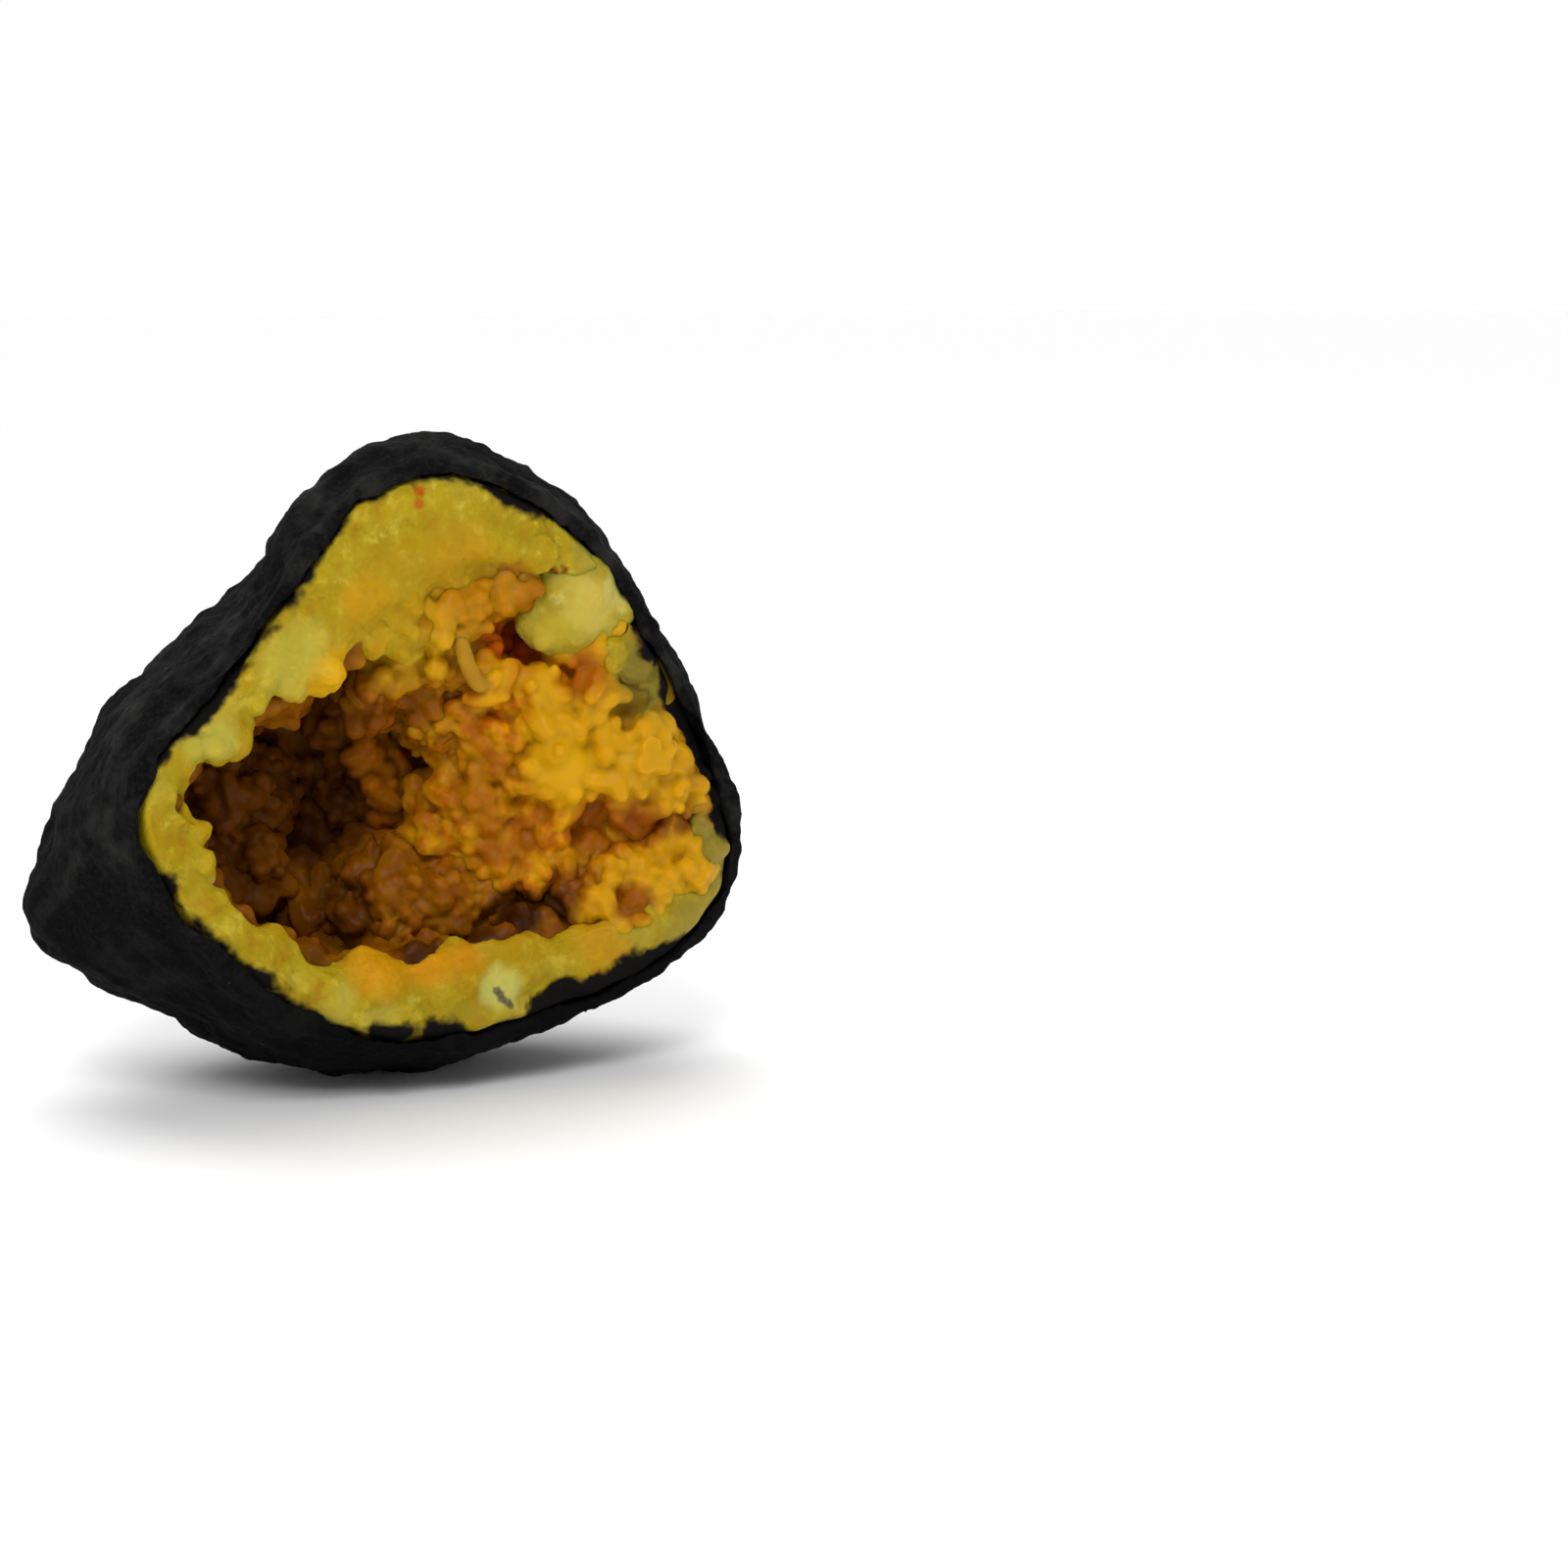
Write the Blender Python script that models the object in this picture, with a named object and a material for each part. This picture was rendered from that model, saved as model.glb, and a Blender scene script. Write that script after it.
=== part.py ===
"""Half of a calcite geode, broken open on a hollow full of crystals.

A nodule with a thin black crust is broken across its hollow. Behind the crust
lies a wall of massive yellow calcite, and the hollow in it is lined with a druse
of rounded crystals, with larger clusters standing on the druse.

Frame: metres, +Z up. The broken face looks along -Y. The origin is on the
resting plane, under the middle of the bounding box.
"""

import math

import bmesh
import bpy
import numpy as np
from mathutils import Vector, noise

MM = 0.001

# The nodule is a ball pulled out to the girths below. Each row is a section
# parallel to the broken face, so many millimetres behind it. Its numbers are
# radii from the ball's axis, sixteen of them, one every 22.5 degrees, from the
# right-hand side (+X) over the top and back underneath.
AXIS_HEIGHT = 37.0
NODULE_DEPTH = 50.0
NODULE_SECTIONS = (
    (0, (35.2, 30.8, 31.4, 33.8, 35.4, 34.0, 29.8, 31.5, 38.6, 35.8, 33.2, 32.2, 31.0, 32.3, 36.2, 41.4)),
    (8, (38.2, 34.8, 34.8, 37.0, 38.4, 35.6, 29.6, 32.2, 39.2, 39.0, 36.8, 35.8, 35.3, 35.2, 38.4, 43.2)),
    (16, (37.7, 35.0, 34.9, 36.4, 36.6, 29.6, 26.8, 31.2, 38.0, 43.0, 38.6, 37.6, 37.0, 37.2, 39.4, 42.6)),
    (25, (35.0, 32.5, 32.8, 33.2, 32.4, 26.4, 25.6, 29.4, 36.0, 44.0, 38.2, 37.8, 37.0, 36.8, 38.0, 40.0)),
    (36, (29.0, 27.0, 27.0, 27.0, 26.0, 23.0, 22.0, 24.8, 30.6, 35.0, 32.4, 31.8, 31.2, 31.0, 32.0, 33.0)),
)
HOLLOW_DEPTH = 40.0
HOLLOW_SECTIONS = (
    (0, (31.0, 25.6, 24.0, 23.4, 20.0, 17.8, 18.5, 24.0, 32.5, 29.0, 25.6, 23.4, 19.4, 20.6, 26.8, 34.0)),
    (8, (32.0, 28.0, 27.0, 27.0, 26.0, 22.5, 20.5, 25.5, 33.5, 33.0, 30.0, 27.8, 25.6, 26.4, 30.5, 35.5)),
    (18, (28.5, 26.5, 26.5, 26.5, 25.5, 21.5, 19.0, 23.5, 31.0, 35.5, 31.6, 29.8, 27.8, 27.8, 29.6, 31.5)),
    (28, (20.5, 19.5, 19.5, 20.0, 19.5, 17.5, 16.5, 19.5, 25.5, 29.0, 26.4, 24.6, 22.8, 22.0, 22.5, 23.0)),
)

CRUST = 1.8  # thickness of the black crust
DRUSE = 2.4  # thickness of the crystal lining
SEAT = 0.35  # gap between solids that touch
DRUSE_START = 2.0  # the druse begins this far behind the broken face
FACE_SWELL = 1.3  # how far the broken face rises and falls
SPAR_STANDS_PROUD = 0.8
BEYOND = 70.0  # cutters reach this far past the nodule

# Crystal clusters: name, centre (x, y behind the face, height), half sizes, lump depth.
CLUSTERS = (
    ("right_boss", (21.0, 12.5, 37.6), (15.5, 11.0, 10.6), 2.2),
    ("right_shelf_cluster", (27.0, 10.5, 21.6), (11.0, 9.0, 5.6), 1.6),
    ("upper_cluster", (6.4, 15.0, 53.4), (12.0, 10.0, 6.4), 1.8),
    ("middle_cluster", (7.0, 32.0, 35.0), (8.6, 7.5, 8.0), 1.6),
    ("lower_cluster", (5.0, 21.5, 17.0), (10.8, 9.0, 7.4), 1.8),
    ("left_cluster", (-17.0, 31.0, 30.0), (9.0, 7.0, 10.0), 1.6),
)
SPAR_CENTRE = (17.8, 4.6, 55.0)
SPAR_HALF_SIZE = (7.0, 6.0, 6.0)

FINE, MEDIUM, COARSE = 5, 4, 3  # icosphere subdivisions

BLACK_CRUST = ((0.012, 0.012, 0.013), 0.85)
YELLOW_CALCITE = ((0.55, 0.36, 0.03), 0.45)
AMBER_DRUSE = ((0.42, 0.19, 0.01), 0.4)
BRIGHT_CRYSTAL = ((0.60, 0.33, 0.015), 0.35)
PALE_SPAR = ((0.62, 0.50, 0.10), 0.35)


def clear_scene():
    for obj in list(bpy.data.objects):
        bpy.data.objects.remove(obj)


def new_collection(name):
    collection = bpy.data.collections.new(name)
    bpy.context.scene.collection.children.link(collection)
    return collection


def stone(name, look):
    """A Principled material of one colour and roughness."""
    colour, roughness = look
    made = bpy.data.materials.new(name)
    made.use_nodes = True
    shader = made.node_tree.nodes["Principled BSDF"]
    shader.inputs["Base Color"].default_value = (*colour, 1.0)
    shader.inputs["Roughness"].default_value = roughness
    shader.inputs["Metallic"].default_value = 0.0
    return made


def spline(before, here, after, beyond, share):
    """The Catmull-Rom curve from here to after, share of the way along."""
    slope_in = (after - before) / 2
    slope_out = (beyond - here) / 2
    bend = 2 * here - 2 * after + slope_in + slope_out
    sweep = 3 * after - 3 * here - 2 * slope_in - slope_out
    return here + share * (slope_in + share * (sweep + share * bend))


def round_radius(radii, angle):
    """The radius at an angle, on a smooth closed curve through the radii."""
    count = len(radii)
    place = (angle / math.tau * count) % count
    first = int(place)
    near = [radii[(first + step) % count] for step in (-1, 0, 1, 2)]
    return spline(*near, place - first)


def girth(sections, angle, depth):
    """The radius at an angle and depth, smooth from section to section."""
    depths = [row[0] for row in sections]
    radii = [round_radius(row[1], angle) for row in sections]
    depth = min(max(depth, depths[0]), depths[-1])
    last = len(depths) - 1
    first = min(max(np.searchsorted(depths, depth) - 1, 0), last - 1)
    share = (depth - depths[first]) / (depths[first + 1] - depths[first])
    near = [radii[min(max(first + step, 0), last)] for step in (-1, 0, 1, 2)]
    return spline(*near, share)


def add_mesh(name, bm, collection, material=None):
    mesh = bpy.data.meshes.new(name)
    bm.to_mesh(mesh)
    bm.free()
    mesh.shade_smooth()
    obj = bpy.data.objects.new(name, mesh)
    if material:
        mesh.materials.append(material)
    collection.objects.link(obj)
    return obj


def moulded_ball(sections, full_depth, inset, detail, lump, lump_size):
    """A ball pulled out to the sections, shrunk by the inset, with soft lumps."""
    bm = bmesh.new()
    bmesh.ops.create_icosphere(bm, subdivisions=detail, radius=1.0)
    for vert in bm.verts:
        unit = vert.co.copy()
        angle = math.atan2(unit.z, unit.x)
        depth = full_depth * max(unit.y, 0.0)
        level = math.sqrt(1 - (min(depth, sections[-1][0]) / full_depth) ** 2)
        swell = lump * noise.noise(unit * (full_depth / lump_size))
        stretch = girth(sections, angle, depth) / level + swell - inset
        length = full_depth + swell - inset
        vert.co = Vector((unit.x * stretch, unit.y * length, unit.z * stretch + AXIS_HEIGHT)) * MM
    return bm


def lumpy_blob(centre, half_size, detail, lump, grow=0.0):
    """An egg shape with rounded lumps, for a crystal cluster."""
    bm = bmesh.new()
    bmesh.ops.create_icosphere(bm, subdivisions=detail, radius=1.0)
    for vert in bm.verts:
        unit = vert.co.copy()
        egg = Vector([(half + grow) * share for half, share in zip(half_size, unit)])
        swell = lump * noise.noise((Vector(centre) + egg) * 0.22)
        vert.co = (Vector(centre) + egg + unit * swell) * MM
    return bm


def broken_face_block(name, collection, start, cells, swell):
    """A block in front of the nodule whose rear side is the broken face."""
    bm = bmesh.new()
    bmesh.ops.create_grid(bm, x_segments=cells, y_segments=cells, size=BEYOND)
    for vert in bm.verts:
        across, up = vert.co.x, vert.co.y
        rise = swell * noise.noise(Vector((across, 0.0, up)) / 16.0)
        vert.co = Vector((across, start + rise, up + AXIS_HEIGHT)) * MM
    front = bmesh.ops.extrude_face_region(bm, geom=bm.faces[:])["geom"]
    for vert in (part for part in front if isinstance(part, bmesh.types.BMVert)):
        vert.co.y = -BEYOND * MM
    bmesh.ops.recalc_face_normals(bm, faces=bm.faces[:])
    return add_mesh(name, bm, collection)


def floor_block(collection):
    """A block under the resting plane, which leaves the nodule a flat to stand on."""
    bm = bmesh.new()
    bmesh.ops.create_cube(bm, size=2 * BEYOND * MM)
    bmesh.ops.translate(bm, verts=bm.verts, vec=(0, 0, -BEYOND * MM))
    return add_mesh("floor_block", bm, collection)


def boolean(obj, operation, other):
    modifier = obj.modifiers.new(f"{operation.lower()}_{other.name}", "BOOLEAN")
    modifier.operation = operation
    modifier.object = other


def build():
    clear_scene()
    parts = new_collection("calcite_geode")
    cutters = new_collection("cutters")
    crust = stone("black_crust", BLACK_CRUST)
    calcite = stone("yellow_calcite", YELLOW_CALCITE)
    amber = stone("amber_druse", AMBER_DRUSE)
    bright = stone("bright_crystal", BRIGHT_CRYSTAL)
    pale = stone("pale_spar", PALE_SPAR)

    def nodule(name, collection, inset, detail, material=None):
        bm = moulded_ball(NODULE_SECTIONS, NODULE_DEPTH, inset, detail, 0.9, 14.0)
        return add_mesh(name, bm, collection, material)

    def hollow(name, collection, inset, lump, material=None):
        bm = moulded_ball(HOLLOW_SECTIONS, HOLLOW_DEPTH, inset, MEDIUM, lump, 7.0)
        return add_mesh(name, bm, collection, material)

    face = broken_face_block("face_block", cutters, 0.0, 36, FACE_SWELL)
    floor = floor_block(cutters)

    # The crust: the nodule less everything inside it.
    rind = nodule("rind", parts, 0.0, FINE, crust)
    boolean(rind, "DIFFERENCE", nodule("rind_inside", cutters, CRUST, MEDIUM))
    boolean(rind, "DIFFERENCE", face)
    boolean(rind, "DIFFERENCE", floor)

    # The wall of massive calcite, with a socket for the pale spar at its mouth.
    wall = nodule("calcite_wall", parts, CRUST + SEAT, MEDIUM, calcite)
    boolean(wall, "DIFFERENCE", hollow("wall_inside", cutters, 0.0, 0.0))
    socket_shape = lumpy_blob(SPAR_CENTRE, SPAR_HALF_SIZE, COARSE, 0.8, grow=SEAT)
    socket = add_mesh("spar_socket", socket_shape, cutters)
    boolean(wall, "DIFFERENCE", socket)
    boolean(wall, "DIFFERENCE", face)

    # The druse: a lumpy lining that starts a little behind the broken face.
    lining = hollow("druse_lining", parts, SEAT, 0.0, amber)
    boolean(lining, "DIFFERENCE", hollow("druse_inside", cutters, DRUSE, 2.2))
    boolean(lining, "DIFFERENCE", broken_face_block("druse_start", cutters, DRUSE_START, 2, 0.0))
    boolean(lining, "DIFFERENCE", socket)

    # The clusters stand on the druse, so each is cut to the space inside it.
    space = hollow("cluster_space", cutters, DRUSE + SEAT, 2.2)
    for name, centre, half_size, lump in CLUSTERS:
        blob = lumpy_blob(centre, half_size, MEDIUM if name == "right_boss" else COARSE, lump)
        cluster = add_mesh(name, blob, parts, bright if name.startswith("right") else amber)
        boolean(cluster, "INTERSECT", space)
        boolean(cluster, "DIFFERENCE", face)
        boolean(cluster, "DIFFERENCE", socket)

    # The pale spar sits in its socket and stands a little proud of the broken face.
    spar = add_mesh("pale_spar", lumpy_blob(SPAR_CENTRE, SPAR_HALF_SIZE, COARSE, 0.8), parts, pale)
    boolean(spar, "INTERSECT", nodule("spar_space", cutters, CRUST + SEAT, MEDIUM))
    boolean(spar, "DIFFERENCE", broken_face_block("spar_face", cutters, -SPAR_STANDS_PROUD, 36, FACE_SWELL))

    for cutter in cutters.objects:
        cutter.hide_render = True
        cutter.display_type = "WIRE"
    stand_on_origin(parts.objects, cutters.objects)


def stand_on_origin(solids, cutters):
    """Moves everything so that the bounding box's bottom centre is the origin."""
    bpy.context.view_layer.update()
    graph = bpy.context.evaluated_depsgraph_get()
    shapes = [solid.evaluated_get(graph).data for solid in solids]
    corners = np.array([tuple(vert.co) for shape in shapes for vert in shape.vertices])
    middle = (corners.min(axis=0) + corners.max(axis=0)) / 2
    for obj in (*solids, *cutters):
        obj.location = (-middle[0], -middle[1], 0.0)


build()
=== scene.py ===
import math

import bmesh
import bpy
import numpy as np
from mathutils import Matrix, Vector
from mathutils.bvhtree import BVHTree


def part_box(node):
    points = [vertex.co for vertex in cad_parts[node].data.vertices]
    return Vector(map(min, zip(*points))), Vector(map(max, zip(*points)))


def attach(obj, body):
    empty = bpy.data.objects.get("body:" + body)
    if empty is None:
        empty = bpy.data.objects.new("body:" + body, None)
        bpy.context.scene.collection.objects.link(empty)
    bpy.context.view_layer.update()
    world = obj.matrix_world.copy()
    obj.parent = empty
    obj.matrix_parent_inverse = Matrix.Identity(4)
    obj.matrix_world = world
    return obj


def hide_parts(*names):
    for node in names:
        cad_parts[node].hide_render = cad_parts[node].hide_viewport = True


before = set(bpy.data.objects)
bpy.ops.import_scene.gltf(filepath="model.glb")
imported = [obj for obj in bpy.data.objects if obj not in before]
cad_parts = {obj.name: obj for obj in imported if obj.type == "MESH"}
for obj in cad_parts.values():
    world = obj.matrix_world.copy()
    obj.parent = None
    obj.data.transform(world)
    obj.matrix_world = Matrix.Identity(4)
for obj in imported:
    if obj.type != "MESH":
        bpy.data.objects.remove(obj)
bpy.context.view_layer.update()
MM = 0.001

# ---- The view -------------------------------------------------------------
# The camera looks a little down into the hollow from the left, and its frame
# leaves room at the right, so the geode stands in the left half.
VIEW_AZIMUTH = math.radians(-31.7)
VIEW_ELEVATION = math.radians(8.0)
VIEW_DISTANCE = 0.4
FRAME_MIDDLE = Vector((0.0401, -0.0315, 0.0341))
LENS = 78.26

looking = Vector((
    -math.sin(VIEW_AZIMUTH) * math.cos(VIEW_ELEVATION),
    math.cos(VIEW_AZIMUTH) * math.cos(VIEW_ELEVATION),
    -math.sin(VIEW_ELEVATION),
))
camera_data = bpy.data.cameras.new("camera")
camera_data.lens = LENS
camera_data.sensor_width = 36.0
camera = bpy.data.objects.new("camera", camera_data)
camera.location = FRAME_MIDDLE - looking * VIEW_DISTANCE
camera.rotation_euler = looking.to_track_quat("-Z", "Y").to_euler()
scene = bpy.context.scene
scene.collection.objects.link(camera)
scene.camera = camera
scene.view_settings.view_transform = "Standard"


# ---- The crust ------------------------------------------------------------
# A thin black rind of fine grains, matte like coal, with soft ridges and small
# pits. The CAD shell is meshed evenly and roughened along its normals.
CRUST_GRAIN = 0.47 * MM
CRUST_HEART = Vector((0.0, 0.010, 0.037))


class Wire:
    """A socket of a node tree that can be used in sums."""

    def __init__(self, nodes, socket):
        self.nodes = nodes
        self.socket = socket

    def maths(self, operation, *others):
        values = {0: self, **dict(enumerate(others, 1))}
        return self.nodes.add("ShaderNodeMath", {"operation": operation}, values)

    def __add__(self, other):
        return self.maths("ADD", other)

    __radd__ = __add__

    def __sub__(self, other):
        return self.maths("SUBTRACT", other)

    def __rsub__(self, other):
        return self.maths("MULTIPLY", -1.0) + other

    def __mul__(self, other):
        return self.maths("MULTIPLY", other)

    __rmul__ = __mul__

    def __truediv__(self, other):
        return self.maths("DIVIDE", other)

    def __rtruediv__(self, other):
        return self.nodes.add("ShaderNodeMath", {"operation": "DIVIDE"}, {0: other, 1: self})

    def rise(self, low, high):
        """0 below low, 1 above high, smooth between them."""
        settings = {"interpolation_type": "SMOOTHSTEP"}
        values = {"Value": self, "From Min": low, "From Max": high}
        return self.nodes.add("ShaderNodeMapRange", settings, values)


class Nodes:
    """A node tree, with one method that adds a node of any type."""

    def __init__(self, tree):
        self.tree = tree

    def add(self, kind, settings=None, values=None, output=0):
        node = self.tree.nodes.new(kind)
        for name, value in (settings or {}).items():
            setattr(node, name, value)
        for name, value in (values or {}).items():
            self.plug(node.inputs[name], value)
        return Wire(self, node.outputs[output])

    def plug(self, socket, value):
        if isinstance(value, Wire):
            self.tree.links.new(value.socket, socket)
        else:
            socket.default_value = value


class Finish(Nodes):
    """A Principled material whose varying sockets are wired node by node."""

    def __init__(self, name, constants):
        self.material = bpy.data.materials.new(name)
        self.material.use_nodes = True
        super().__init__(self.material.node_tree)
        self.shader = self.tree.nodes["Principled BSDF"]
        for socket, value in constants.items():
            self.shader.inputs[socket].default_value = value
        self.place = self.add("ShaderNodeTexCoord", output="Object")

    def noise(self, size, detail=2.0, roughness=0.5, shift=(0.0, 0.0, 0.0)):
        """Soft noise around 0.5 whose patches are about this size, in metres."""
        moved = self.add("ShaderNodeVectorMath", {"operation": "ADD"}, {0: self.place, 1: shift})
        values = {"Vector": moved, "Scale": 1 / size, "Detail": detail, "Roughness": roughness}
        return self.add("ShaderNodeTexNoise", {}, values)

    def attribute(self, name):
        return self.add("ShaderNodeAttribute", {"attribute_name": name}, output="Fac")

    def blend(self, share, low, high):
        """A colour between low and high."""
        values = {0: share, 6: low, 7: high}
        return self.add("ShaderNodeMix", {"data_type": "RGBA"}, values, output=2)

    def near(self, centre, radius, ragged=0.0, ragged_size=3 * MM):
        """1 close to a point, 0 past the radius, with a ragged border."""
        ends = {0: self.place, 1: centre}
        gap = self.add("ShaderNodeVectorMath", {"operation": "DISTANCE"}, ends, output="Value")
        wander = (self.noise(ragged_size, 3.0) - 0.5) * (2 * ragged)
        return 1 - (gap + wander).rise(radius * 0.45, radius)

    def wire(self, **sockets):
        for name, value in sockets.items():
            self.plug(self.shader.inputs[name.replace("_", " ")], value)

    def bump(self, height, distance, strength=1.0):
        values = {"Height": height, "Distance": distance, "Strength": strength}
        self.plug(self.shader.inputs["Normal"], self.add("ShaderNodeBump", {}, values))


def colour(red, green, blue):
    """A linear colour from screen values of 0 to 255."""
    shares = [part / 255 for part in (red, green, blue)]
    return (*[s / 12.92 if s <= 0.04045 else ((s + 0.055) / 1.055) ** 2.4 for s in shares], 1.0)


def solid_of(node):
    """A merged copy of a CAD node's mesh."""
    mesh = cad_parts[node].data.copy()
    bm = bmesh.new()
    bm.from_mesh(mesh)
    bmesh.ops.remove_doubles(bm, verts=bm.verts, dist=0.001 * MM)
    bm.to_mesh(mesh)
    bm.free()
    mesh.materials.clear()
    return mesh


def settled(obj):
    """Turns an object's modifiers into plain mesh."""
    graph = bpy.context.evaluated_depsgraph_get()
    mesh = bpy.data.meshes.new_from_object(obj.evaluated_get(graph), depsgraph=graph)
    obj.modifiers.clear()
    obj.data = mesh
    return obj


def piece(name, mesh):
    obj = bpy.data.objects.new(name, mesh)
    scene.collection.objects.link(obj)
    return obj


def soften(obj, rounds):
    smooth = obj.modifiers.new("smooth", "SMOOTH")
    smooth.factor = 0.5
    smooth.iterations = rounds
    return settled(obj)


def evenly(obj, grain, smooth_rounds):
    """Meshes a solid again in even quads, and rounds off its edges."""
    remesh = obj.modifiers.new("even mesh", "REMESH")
    remesh.mode = "VOXEL"
    remesh.voxel_size = grain
    return soften(obj, smooth_rounds)


def points(mesh, kind="co"):
    """One row for each vertex: where it is, in metres, or its normal."""
    flat = np.empty(len(mesh.vertices) * 3, np.float32)
    mesh.vertices.foreach_get(kind, flat)
    return flat.reshape(-1, 3)


def normals(mesh):
    return points(mesh, "normal")


def put(mesh, moved):
    mesh.vertices.foreach_set("co", moved.ravel())


def keep_above(mesh, axis, lowest):
    """Flattens whatever reaches below a height, or in front of a plane."""
    moved = points(mesh)
    moved[:, axis] = np.maximum(moved[:, axis], lowest)
    put(mesh, moved)
    mesh.update()


def mark(mesh, name, values):
    """Keeps one number per vertex, for a modifier or a material to read."""
    layer = mesh.attributes.get(name) or mesh.attributes.new(name, "FLOAT", "POINT")
    layer.data.foreach_set("value", np.ascontiguousarray(values, np.float32))


def step(values, low, high):
    """0 below low, 1 above high, smooth between them."""
    share = np.clip((values - low) / (high - low), 0.0, 1.0)
    return share * share * (3 - 2 * share)


def close_to(mesh, spot, radius):
    """1 at a spot given in millimetres, down to 0 at the radius."""
    gap = np.linalg.norm(points(mesh) / MM - np.array(spot), axis=1)
    return 1 - step(gap, radius * 0.35, radius)


def thin_out(obj, hidden, keep):
    """Makes the mesh coarse where it is hidden for good."""
    group = obj.vertex_groups.new(name="hidden")
    for index in np.flatnonzero(hidden):
        group.add([int(index)], 1.0, "REPLACE")
    share = hidden.mean()
    coarser = obj.modifiers.new("thin out", "DECIMATE")
    coarser.vertex_group = "hidden"
    coarser.ratio = 1 - share * (1 - keep)
    settled(obj)
    obj.vertex_groups.clear()
    return obj


def geometry_tree(name, inputs):
    """A Geometry Nodes group with named inputs, and wires from each of them."""
    tree = bpy.data.node_groups.new(name, "GeometryNodeTree")
    tree.interface.new_socket("Geometry", in_out="INPUT", socket_type="NodeSocketGeometry")
    for title, kind in inputs.items():
        tree.interface.new_socket(title, in_out="INPUT", socket_type=f"NodeSocket{kind}")
    tree.interface.new_socket("Geometry", in_out="OUTPUT", socket_type="NodeSocketGeometry")
    entry = tree.nodes.new("NodeGroupInput")
    nodes = Nodes(tree)
    wires = {socket.name: Wire(nodes, socket) for socket in entry.outputs if socket.name}
    return nodes, wires, tree.nodes.new("NodeGroupOutput")


def grow(obj, tree, values):
    """Runs a Geometry Nodes group on the object and keeps the result."""
    modifier = obj.modifiers.new(tree.name, "NODES")
    modifier.node_group = tree
    inputs = [item for item in tree.interface.items_tree if item.in_out == "INPUT"]
    sockets = {item.name: item.identifier for item in inputs}
    for name, value in values.items():
        modifier[sockets[name]] = value
    return settled(obj)


def swell(nodes, size, detail=1.0):
    """Soft noise around 0, with bumps of about this size."""
    return nodes.add("ShaderNodeTexNoise", {}, {"Scale": 1 / size, "Detail": detail}) - 0.5


def cell_gap(nodes, size, feature="F1"):
    """How far a spot is from the middle of its cell, as a share of the cell's size."""
    values = {"Scale": 1 / size}
    return nodes.add("ShaderNodeTexVoronoi", {"feature": feature}, values, output="Distance")


def scaled(nodes, vector, share):
    values = {0: vector, "Scale": share}
    return nodes.add("ShaderNodeVectorMath", {"operation": "SCALE"}, values)


def shifted(nodes, geometry, offset):
    return nodes.add("GeometryNodeSetPosition", {}, {"Geometry": geometry, "Offset": offset})


def end_tree(nodes, wires, out, geometry):
    """Gives the geometry its material and hands it over."""
    values = {"Geometry": geometry, "Material": wires["Material"]}
    nodes.plug(out.inputs[0], nodes.add("GeometryNodeSetMaterial", {}, values))
    return nodes.tree


def raised(nodes, wires, rise):
    """The surface pushed out along its normals."""
    push = scaled(nodes, nodes.add("GeometryNodeInputNormal"), rise)
    moved = shifted(nodes, wires["Geometry"], push)
    return nodes.add("GeometryNodeRealizeInstances", {}, {0: moved})


def rough_crust_tree():
    """Pushes the surface along its normal: soft dents, lumps, grains and pits."""
    heights = dict.fromkeys(("Dents", "Lumps", "Grains", "Pits"), "Float")
    nodes, wires, out = geometry_tree("rough crust", {**heights, "Material": "Material"})
    pits = 1 - cell_gap(nodes, 3.6 * MM).rise(0.10, 0.34)
    rise = swell(nodes, 12 * MM) * wires["Dents"] + swell(nodes, 3.8 * MM) * wires["Lumps"]
    rise = rise + swell(nodes, 1.5 * MM) * wires["Grains"] - pits * wires["Pits"]
    return end_tree(nodes, wires, out, raised(nodes, wires, rise))


COAL = {"Roughness": 0.95, "Specular IOR Level": 0.05}
coal = Finish("black crust", COAL)
coal_grain = coal.noise(0.55 * MM, 3.0, 0.7)
coal_patch = coal.noise(7 * MM, 5.0, 0.65)
coal_black = coal.blend(coal_grain.rise(0.45, 0.75), colour(10, 10, 10), colour(25, 25, 25))
coal_tone = coal.blend(coal_patch.rise(0.44, 0.7) * 0.65, coal_black, colour(46, 45, 44))
# Painted shade: the crust is painted darker towards the bottom, near the floor.
coal_height = coal.add("ShaderNodeSeparateXYZ", {}, {0: coal.place}, output="Z")
coal_tone = coal.blend((1 - coal_height.rise(4 * MM, 34 * MM)) * 0.85, coal_tone, colour(8, 8, 8))
coal_flakes = {"Vector": coal.place, "Scale": 1 / (4.2 * MM)}
coal_cells = coal.add("ShaderNodeTexVoronoi", {}, coal_flakes, output="Distance")
coal_fleck = (1 - coal_cells.rise(0.03, 0.07)) * coal_patch.rise(0.5, 0.6) * 0.5
coal_colour = coal.blend(coal_fleck, coal_tone, colour(100, 96, 88))
WORN_SPOTS = (((-0.0126, -0.0145, 0.0693), 2.2 * MM), ((-0.0139, -0.0145, 0.0660), 2.4 * MM))
for spot, size in WORN_SPOTS:
    worn = coal.near(spot, size, 1.4 * MM, 1.2 * MM) * coal_grain.rise(0.3, 0.8)
    coal_colour = coal.blend(worn * 0.55, coal_colour, colour(120, 118, 108))
coal.wire(Base_Color=coal_colour)
coal.bump(coal_grain * 0.35 + coal.noise(1.4 * MM, 2.0, 0.5), 0.4 * MM)

# In millimetres: the lobe at the upper left, the crease between it and the rim,
# and the sharp lower left corner with the dent above it.
LOBE_HEIGHT = 0.3
CREASE_DEPTH = 0.9
LOW_CORNER = (-40.5, -1.5, 20.3)
ABOVE_CORNER = (-41.0, -1.5, 30.0)


def ridge(depth, height, middle, width):
    """A rounded ridge, or a crease where its height is below 0, in millimetres."""
    return height * np.exp(-((depth - middle) / width) ** 2)


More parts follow.
